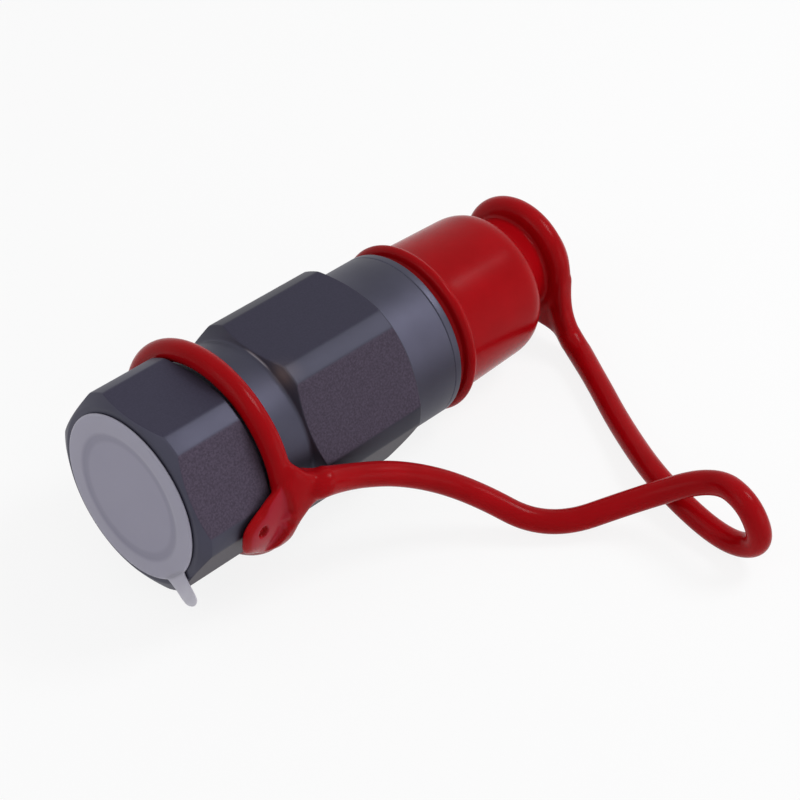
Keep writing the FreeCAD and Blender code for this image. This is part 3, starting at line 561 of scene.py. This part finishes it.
def hexagon_turned(profile, around=528):
    """The turned profile cut by the hexagon's flats: at each angle the radius is the smaller of the profile's
    and the flat's, distance / cos(angle from the flat's middle). The smaller is taken softly,
    -k ln(exp(-a/k) + exp(-b/k)), which rounds the edge. Also returns 1 where the profile shows and 0 on
    the flats, with 1 / (1 + exp(difference / (share of k))) between them."""
    turn = (np.arange(around) * 2 * np.pi / around)[None]
    from_flat = (turn + np.pi / 6) % (np.pi / 3) - np.pi / 6
    flat = flat_distance / np.cos(from_flat) + 0 * profile[:, :1]
    own = profile[:, 1:] + 0 * turn
    low = np.minimum(flat, own)
    k = edge_softness
    far = low - k * np.log(np.exp(-(flat - low) / k) + np.exp(-(own - low) / k))
    shows = 1 / (1 + np.exp((own - flat) / (mark_share * k)))
    x = profile[:, :1] + 0 * turn
    return np.stack([x, -far * np.sin(turn), far * np.cos(turn)], -1), shows


body_rows, body_turned = hexagon_turned(body_profile)
body = new_piece("coupler_body_plated", [sheet_of(body_rows * MM, True, True)])
mark = body.data.attributes.new("turned", "FLOAT", "POINT")
mark.data.foreach_set("value", body_turned.ravel().astype(np.float32))

# Each point keeps a tone: the plating's dark colour with painted light and shade. The top flats are darker
# and the side and lower flats lighter, the rear hexagon and neck lighter than the middle hexagon, and a
# painted highlight lies on the front collar.
top_flat_shaded_tone, side_flat_lit_tone, lower_flat_lit_tone = (0.036, 0.033, 0.056), (0.054, 0.042, 0.064), (0.050, 0.042, 0.056)
flat_light_tones = np.array([top_flat_shaded_tone, side_flat_lit_tone, lower_flat_lit_tone, lower_flat_lit_tone, lower_flat_lit_tone, top_flat_shaded_tone])
turned_tone = np.array([0.047, 0.046, 0.068])
body_x = body_rows[..., 0]
swing = np.degrees(np.arctan2(-body_rows[..., 1], body_rows[..., 2]))
rear_to_middle_light = np.interp(body_x, [16.0, 29.0], [1.12, 0.97])
flats_with_light = flat_light_tones[np.round(swing / 60).astype(int) % 6] * rear_to_middle_light[..., None]
band_light = np.interp(body_x, [15.5, 16.5, 28.0, 29.5, 53.0, 55.0], [1.22, 1.12, 1.12, 0.76, 0.76, 1.07])
# Painted highlight along the front collar, where it faces the low lamp on the right.
band_light += 0.60 * np.exp(-(((swing - 50) / 17) ** 2)) * (body_x > 55)
tone_with_light = body_turned[..., None] * turned_tone * band_light[..., None] + (1 - body_turned[..., None]) * flats_with_light

# On the middle hexagon's rear shoulder a painted highlight lies along the edge, and a spot has worn through
# to a browner steel.
edge_highlight = 0.7 * np.exp(-(((body_x - 27.9) / 0.09) ** 2)) * np.exp(-(((swing - 9) / 9) ** 4))
bare = 0.75 * np.exp(-(((body_x - 28.5) / 0.7) ** 2) - ((swing - 27) / 6.5) ** 2)
edge_highlight_tone, bare_tone = np.array([0.42, 0.41, 0.45]), np.array([0.165, 0.130, 0.128])
tone_with_light += (edge_highlight_tone - tone_with_light) * edge_highlight[..., None]
tone_with_light += (bare_tone - tone_with_light) * bare[..., None]
plating_and_light = body.data.attributes.new("plating_and_light", "FLOAT_COLOR", "POINT")
graininess = np.where(np.abs(swing) < 30, 0.35, 1.0)[..., None]
plating_and_light.data.foreach_set("color", np.concatenate([tone_with_light, graininess], -1).ravel().astype(np.float32))
dark_plating, tree, shader, node = material("dark_plating")
where = node("TexCoord").outputs["Object"]
shows = node("Attribute", set_attribute_name="turned").outputs["Fac"]
cloud = node("TexNoise", Vector=where, Scale=90.0, Detail=4.0)
grit = node("TexNoise", Vector=where, Scale=2600.0, Detail=2.0)
sandy = node("MapRange", Value=grit.outputs["Fac"], From_Min=0.35, From_Max=0.70, To_Min=0.80, To_Max=1.22)
cloudy = node("MapRange", Value=cloud.outputs["Fac"], From_Min=0.30, From_Max=0.70, To_Min=0.90, To_Max=1.10)
plating_light_node = node("Attribute", set_attribute_name="plating_and_light")
grainy = node("Mix")
tree.links.new(plating_light_node.outputs["Alpha"], grainy.inputs["Factor"])
grainy.inputs[2].default_value = 1.0
tree.links.new(sandy.outputs["Result"], grainy.inputs[3])
depth = node("Mix")
tree.links.new(shows, depth.inputs["Factor"])
tree.links.new(grainy.outputs[0], depth.inputs[2])
tree.links.new(cloudy.outputs["Result"], depth.inputs[3])
shaded = node("VectorMath", set_operation="SCALE")
tree.links.new(plating_light_node.outputs["Color"], shaded.inputs[0])
tree.links.new(depth.outputs[0], shaded.inputs["Scale"])
tree.links.new(shaded.outputs[0], shader.inputs["Base Color"])
rough = node("MapRange", Value=shows, To_Min=0.58, To_Max=0.50)
tree.links.new(rough.outputs["Result"], shader.inputs["Roughness"])
lathe = node("TexWave", Vector=where, Scale=1600.0, Distortion=1.5, set_bands_direction="X")
surface = node("Mix")
tree.links.new(shows, surface.inputs["Factor"])
tree.links.new(grit.outputs["Fac"], surface.inputs[2])
tree.links.new(lathe.outputs["Fac"], surface.inputs[3])
relief = node("Bump", Strength=0.12, Distance=0.00004, Height=surface.outputs[0])
tree.links.new(relief.outputs["Normal"], shader.inputs["Normal"])
shader.inputs["Metallic"].default_value = 0.8
body.data.materials.append(dark_plating)
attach(body, "coupler")
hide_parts("coupler_body")

# Nose piece. Turned steel, screwed into the body, with a flange, the polished nose and its locking groove.
# Its bore holds the valve, and narrows to the valve's seat at the nose's face.
nose_profile = rounded([
    (50.0, 10.3, 0.1), (50.0, 12.54, 0.1), (50.6, 13.14, 0.1), (60.4, 13.14, 0.1), (60.4, 14.7, 0.1),
    (60.7, 15.0, 0.1), (61.2, 15.0, 0.05), (61.2, 13.3, 0.05), (64.4, 13.3, 0.05), (64.4, 15.0, 0.05),
    (65.4, 15.0, 0.02), (65.4, 16.75, 0.1), (65.65, 17.0, 0.1), (66.95, 17.0, 0.1), (67.2, 16.75, 0.1),
    (67.2, 13.5, 0.4), (76.9, 13.5, 0.3), (78.5, 11.9, 0.6), (80.5, 11.9, 0.6), (82.1, 13.5, 0.3),
    (90.7, 13.5, 0.4), (91.7, 12.5, 0.3), (91.7, 7.85, 0.12), (87.2, 7.85, 0.1), (84.75, 10.3, 0.2),
    (56.0, 10.3, 0.05), (56.0, 11.1, 0.05), (54.7, 11.1, 0.05), (54.7, 10.3, 0.05),
], steps=5)
nose = new_piece("nose_piece_turned", [sheet_of(turned(divided(nose_profile, 3.0)) * MM, True, True)])


def clouded(name, scale, detail, dark, pale, roughness, metallic=0.0):
    """A material whose base colour runs from the dark to the pale tone, and its roughness from the first to
    the second value, with a noise of the scale. Also returns its tree, shader and node function."""
    made, tree, shader, node = material(name)
    cloud = node("TexNoise", Vector=node("TexCoord").outputs["Object"], Scale=scale, Detail=detail)
    tone = node("ValToRGB", Fac=cloud.outputs["Fac"])
    tone.color_ramp.elements[0].color, tone.color_ramp.elements[1].color = (*dark, 1), (*pale, 1)
    tree.links.new(tone.outputs["Color"], shader.inputs["Base Color"])
    spread = node("MapRange", Value=cloud.outputs["Fac"], To_Min=roughness[0], To_Max=roughness[1])
    tree.links.new(spread.outputs["Result"], shader.inputs["Roughness"])
    shader.inputs["Metallic"].default_value = metallic
    return made, tree, shader, node


turned_steel, tree, shader, node = clouded(
    "turned_steel", 120.0, 3.0, (0.052, 0.051, 0.075), (0.070, 0.068, 0.096), (0.42, 0.50), metallic=0.85
)
where = node("TexCoord").outputs["Object"]
lathe = node("TexWave", Vector=where, Scale=1100.0, Distortion=0.3, set_bands_direction="X")
relief = node("Bump", Strength=0.08, Distance=0.00003, Height=lathe.outputs["Fac"])
tree.links.new(relief.outputs["Normal"], shader.inputs["Normal"])
nose.data.materials.append(turned_steel)
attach(nose, "coupler")
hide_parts("nose_piece")

# Valve, guide, clip and spring, inside the nose. The first three, turned or bent from steel, keep the
# solids' shapes. The spring is coiled from drawn steel wire, between the guide and the valve's head.
for name in ("valve", "valve_guide", "guide_retaining_ring"):
    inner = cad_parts[name]
    inner.data.materials.clear()
    inner.data.materials.append(turned_steel)
spring_steel = clouded(
    "spring_steel", 900.0, 2.0, (0.36, 0.35, 0.34), (0.52, 0.51, 0.49), (0.22, 0.34), metallic=1.0
)[0]
spring_start, spring_end, coil_radius, wire_radius, coil_count = 60.75, 82.45, 5.2, 0.7, 6.0
along = np.linspace(0, 1, 361)
coil_turn = 2 * np.pi * coil_count * along
coil_line = np.stack([
    spring_start + (spring_end - spring_start) * along,
    -coil_radius * np.sin(coil_turn),
    coil_radius * np.cos(coil_turn),
], -1)
spring = new_piece(
    "valve_spring_coiled", [sheet_of(tube(coil_line * MM, wire_radius * MM, 16), False, True, cap=True)]
)
spring.data.materials.append(spring_steel)
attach(spring, "coupler")
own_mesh(spring)
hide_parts("valve_spring")

# Seals. Black nitrile rings with white backup rings beside them, in the nose and on the valve head.
# They are pressed into their grooves, and keep the solids' shapes.
seal_rubber = clouded(
    "seal_rubber", 700.0, 2.0, (0.010, 0.010, 0.011), (0.020, 0.020, 0.022), (0.5, 0.5)
)[0]
backup_plastic = clouded(
    "backup_plastic", 500.0, 2.0, (0.72, 0.71, 0.67), (0.80, 0.79, 0.76), (0.42, 0.42)
)[0]
for name, finish in (
    ("nose_o_ring", seal_rubber),
    ("valve_o_ring", seal_rubber),
    ("nose_backup_ring", backup_plastic),
    ("valve_backup_ring", backup_plastic),
):
    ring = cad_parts[name]
    ring.data.materials.clear()
    ring.data.materials.append(finish)

# Port plug. Thin milky polyethylene, moulded: a cup pressed into the port, its flange over the port's face,
# and a pull tab.
plug_profile = rounded([
    (-0.42, 0.0, 0.0), (-0.42, 12.2, 0.6), (-0.60, 13.0, 0.4), (-0.60, 16.1, 0.2), (-0.40, 16.4, 0.2),
    (-0.15, 16.4, 0.15), (-0.05, 16.1, 0.1), (-0.05, 12.0, 0.15), (8.3, 12.0, 0.6), (9.5, 11.4, 0.2),
    (9.5, 10.8, 0.2), (0.25, 10.8, 0.3), (0.15, 0.0, 0.0),
], steps=5)
tab_swing = np.radians(132.3)
tab_outline = np.array([
    (15.5, -3.6), (16.4, -3.1), (18.3, -2.6), (20.4, -2.4), (21.7, -1.8), (22.3, 0.0),
    (21.7, 1.8), (20.4, 2.4), (18.3, 2.6), (16.4, 3.1), (15.5, 3.6), (15.3, 0.0),
])
tab_heart = np.array([(16.0, 0.0), (17.2, 0.0), (19.0, 0.0), (20.4, 0.0)])
tab_x, tab_half, tab_steps, tab_roundness = -0.325, 0.255, 6, ([0.0], [3.5])
spot, height = pillow(tab_outline, tab_heart, tab_steps, tab_roundness)
tab = np.stack([
    tab_x + tab_half * height,
    -spot[..., 0] * np.sin(tab_swing) + spot[..., 1] * np.cos(tab_swing),
    spot[..., 0] * np.cos(tab_swing) + spot[..., 1] * np.sin(tab_swing),
], -1)
plug = new_piece("port_plug_moulding", [
    sheet_of(turned(divided(plug_profile, 1.2)) * MM, True, True),
    sheet_of(tab * MM, False, True),
])

# Its colour follows the distance from the axis, with painted shade and light: the thin disc darkened by the
# dark bore behind it, the raised circle over the cup's wall darkest, a painted shadow, and the flange palest,
# painted with the light through it. The ramp's positions are shares of the reach.
plug_reach = 0.025
milky_plastic, tree, shader, node = material("milky_plastic")
where = node("TexCoord").outputs["Object"]
apart = node("SeparateXYZ", Vector=where)
square_y = node("Math", set_operation="MULTIPLY")
square_z = node("Math", set_operation="MULTIPLY")
for square, axis in ((square_y, "Y"), (square_z, "Z")):
    tree.links.new(apart.outputs[axis], square.inputs[0])
    tree.links.new(apart.outputs[axis], square.inputs[1])
both = node("Math", set_operation="ADD")
tree.links.new(square_y.outputs[0], both.inputs[0])
tree.links.new(square_z.outputs[0], both.inputs[1])
far_out = node("Math", set_operation="SQRT")
tree.links.new(both.outputs[0], far_out.inputs[0])
wall = node("ValToRGB", Fac=node("MapRange", Value=far_out.outputs[0], From_Max=plug_reach).outputs["Result"])
ramp = wall.color_ramp
ramp.elements[0].position, ramp.elements[0].color = 0.0, (0.297, 0.283, 0.373, 1)
ramp.elements[1].position, ramp.elements[1].color = 1.0, (0.66, 0.645, 0.70, 1)
for position, colour in (
    (0.425, (0.292, 0.278, 0.368, 1)),
    (0.455, (0.245, 0.235, 0.316, 1)),
    (0.490, (0.245, 0.235, 0.316, 1)),
    (0.520, (0.330, 0.316, 0.402, 1)),
    (0.640, (0.342, 0.328, 0.417, 1)),
    (0.670, (0.450, 0.435, 0.520, 1)),
):
    ramp.elements.new(position).color = colour
tree.links.new(wall.outputs["Color"], shader.inputs["Base Color"])
haze = node("TexNoise", Vector=where, Scale=160.0, Detail=3.0)
spread = node("MapRange", Value=haze.outputs["Fac"], To_Min=0.36, To_Max=0.48)
tree.links.new(spread.outputs["Result"], shader.inputs["Roughness"])
shader.inputs["Subsurface Weight"].default_value = 0.25
shader.inputs["Subsurface Radius"].default_value = (0.0012, 0.0012, 0.0014)
shader.inputs["Subsurface Scale"].default_value = 1.0
plug.data.materials.append(milky_plastic)
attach(plug, "plug")
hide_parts("port_plug")

# Ground and studio. A white table that the coupler rests on, nose down as it lies, so the table rises
# towards the nose in the coupler's frame. A soft lamp above on the right, one low on the right and one on
# the left, in a white room.
rest_x, rest_z, rest_slope = 18.3, -21.43, 0.0757
ground_half = 2500.0
# The camera sees this share of the table as plain white, so that only a light shadow stays.
ground_glow = 0.86
corner = np.array([(-1, -1), (1, -1), (1, 1), (-1, 1)]) * ground_half


def seen_directly(tree):
    """A socket that is 1 for the camera's own rays and what they see mirrored or through a clear wall,
    and 0 for the light that falls on the pieces."""
    rays = tree.nodes.new("ShaderNodeLightPath")
    share = rays.outputs["Is Camera Ray"]
    for kind in ("Is Glossy Ray", "Is Transmission Ray"):
        larger = tree.nodes.new("ShaderNodeMath")
        larger.operation = "MAXIMUM"
        tree.links.new(share, larger.inputs[0])
        tree.links.new(rays.outputs[kind], larger.inputs[1])
        share = larger.outputs[0]
    return share


ground_mesh = bpy.data.meshes.new("ground")
ground_mesh.from_pydata(
    (np.c_[corner, rest_z + (corner[:, 0] - rest_x) * rest_slope] * MM).tolist(), [], [[0, 1, 2, 3]]
)
ground = bpy.data.objects.new("ground", ground_mesh)
bpy.context.scene.collection.objects.link(ground)
paper, tree, shader, node = material("paper")
shader.inputs["Base Color"].default_value = (0.90, 0.90, 0.90, 1)
shader.inputs["Roughness"].default_value = 0.9
white = node("Emission", Strength=1.0)
seen_share = node("Math", set_operation="MULTIPLY")
tree.links.new(seen_directly(tree), seen_share.inputs[0])
seen_share.inputs[1].default_value = ground_glow
blend = node("MixShader")
tree.links.new(seen_share.outputs[0], blend.inputs[0])
tree.links.new(shader.outputs[0], blend.inputs[1])
tree.links.new(white.outputs[0], blend.inputs[2])
tree.links.new(blend.outputs[0], tree.nodes["Material Output"].inputs["Surface"])
ground_mesh.materials.append(paper)

# The room lights the pieces at half the strength at which it is seen.
room_light, room_seen = 0.5, 1.0
world = bpy.data.worlds.new("studio")
bpy.context.scene.world = world
world.use_nodes = True
sky = world.node_tree
backdrop = sky.nodes["Background"]
level = sky.nodes.new("ShaderNodeMapRange")
level.inputs["To Min"].default_value, level.inputs["To Max"].default_value = room_light, room_seen
sky.links.new(seen_directly(sky), level.inputs["Value"])
sky.links.new(level.outputs["Result"], backdrop.inputs["Strength"])
backdrop.inputs["Color"].default_value = (1, 1, 1, 1)

# Each lamp has its name, place and width in millimetres, watts and colour.
lamps = (
    ("key", (270.0, -150.0, 350.0), 140.0, 0.75, (0.96, 0.98, 1.0)),
    ("fill", (230.0, -420.0, 90.0), 260.0, 0.27, (1.0, 0.96, 0.98)),
    ("left", (-380.0, 60.0, 260.0), 260.0, 0.25, (1.0, 1.0, 1.0)),
)
for name, spot_at, wide, watts, colour in lamps:
    light = bpy.data.lights.new(name, "AREA")
    light.shape = "SQUARE"
    light.size = wide * MM
    light.energy = watts
    light.color = colour
    lamp = bpy.data.objects.new(name, light)
    bpy.context.scene.collection.objects.link(lamp)
    away = np.array(spot_at) - look_target
    away /= np.linalg.norm(away)
    aside = np.cross((0, 0, 1.0), away)
    aside /= np.linalg.norm(aside)
    lamp.matrix_world = Matrix.Translation(np.array(spot_at) * MM) @ Matrix(
        np.column_stack([aside, np.cross(away, aside), away]).tolist()
    ).to_4x4()

bpy.context.scene.view_settings.view_transform = "Standard"
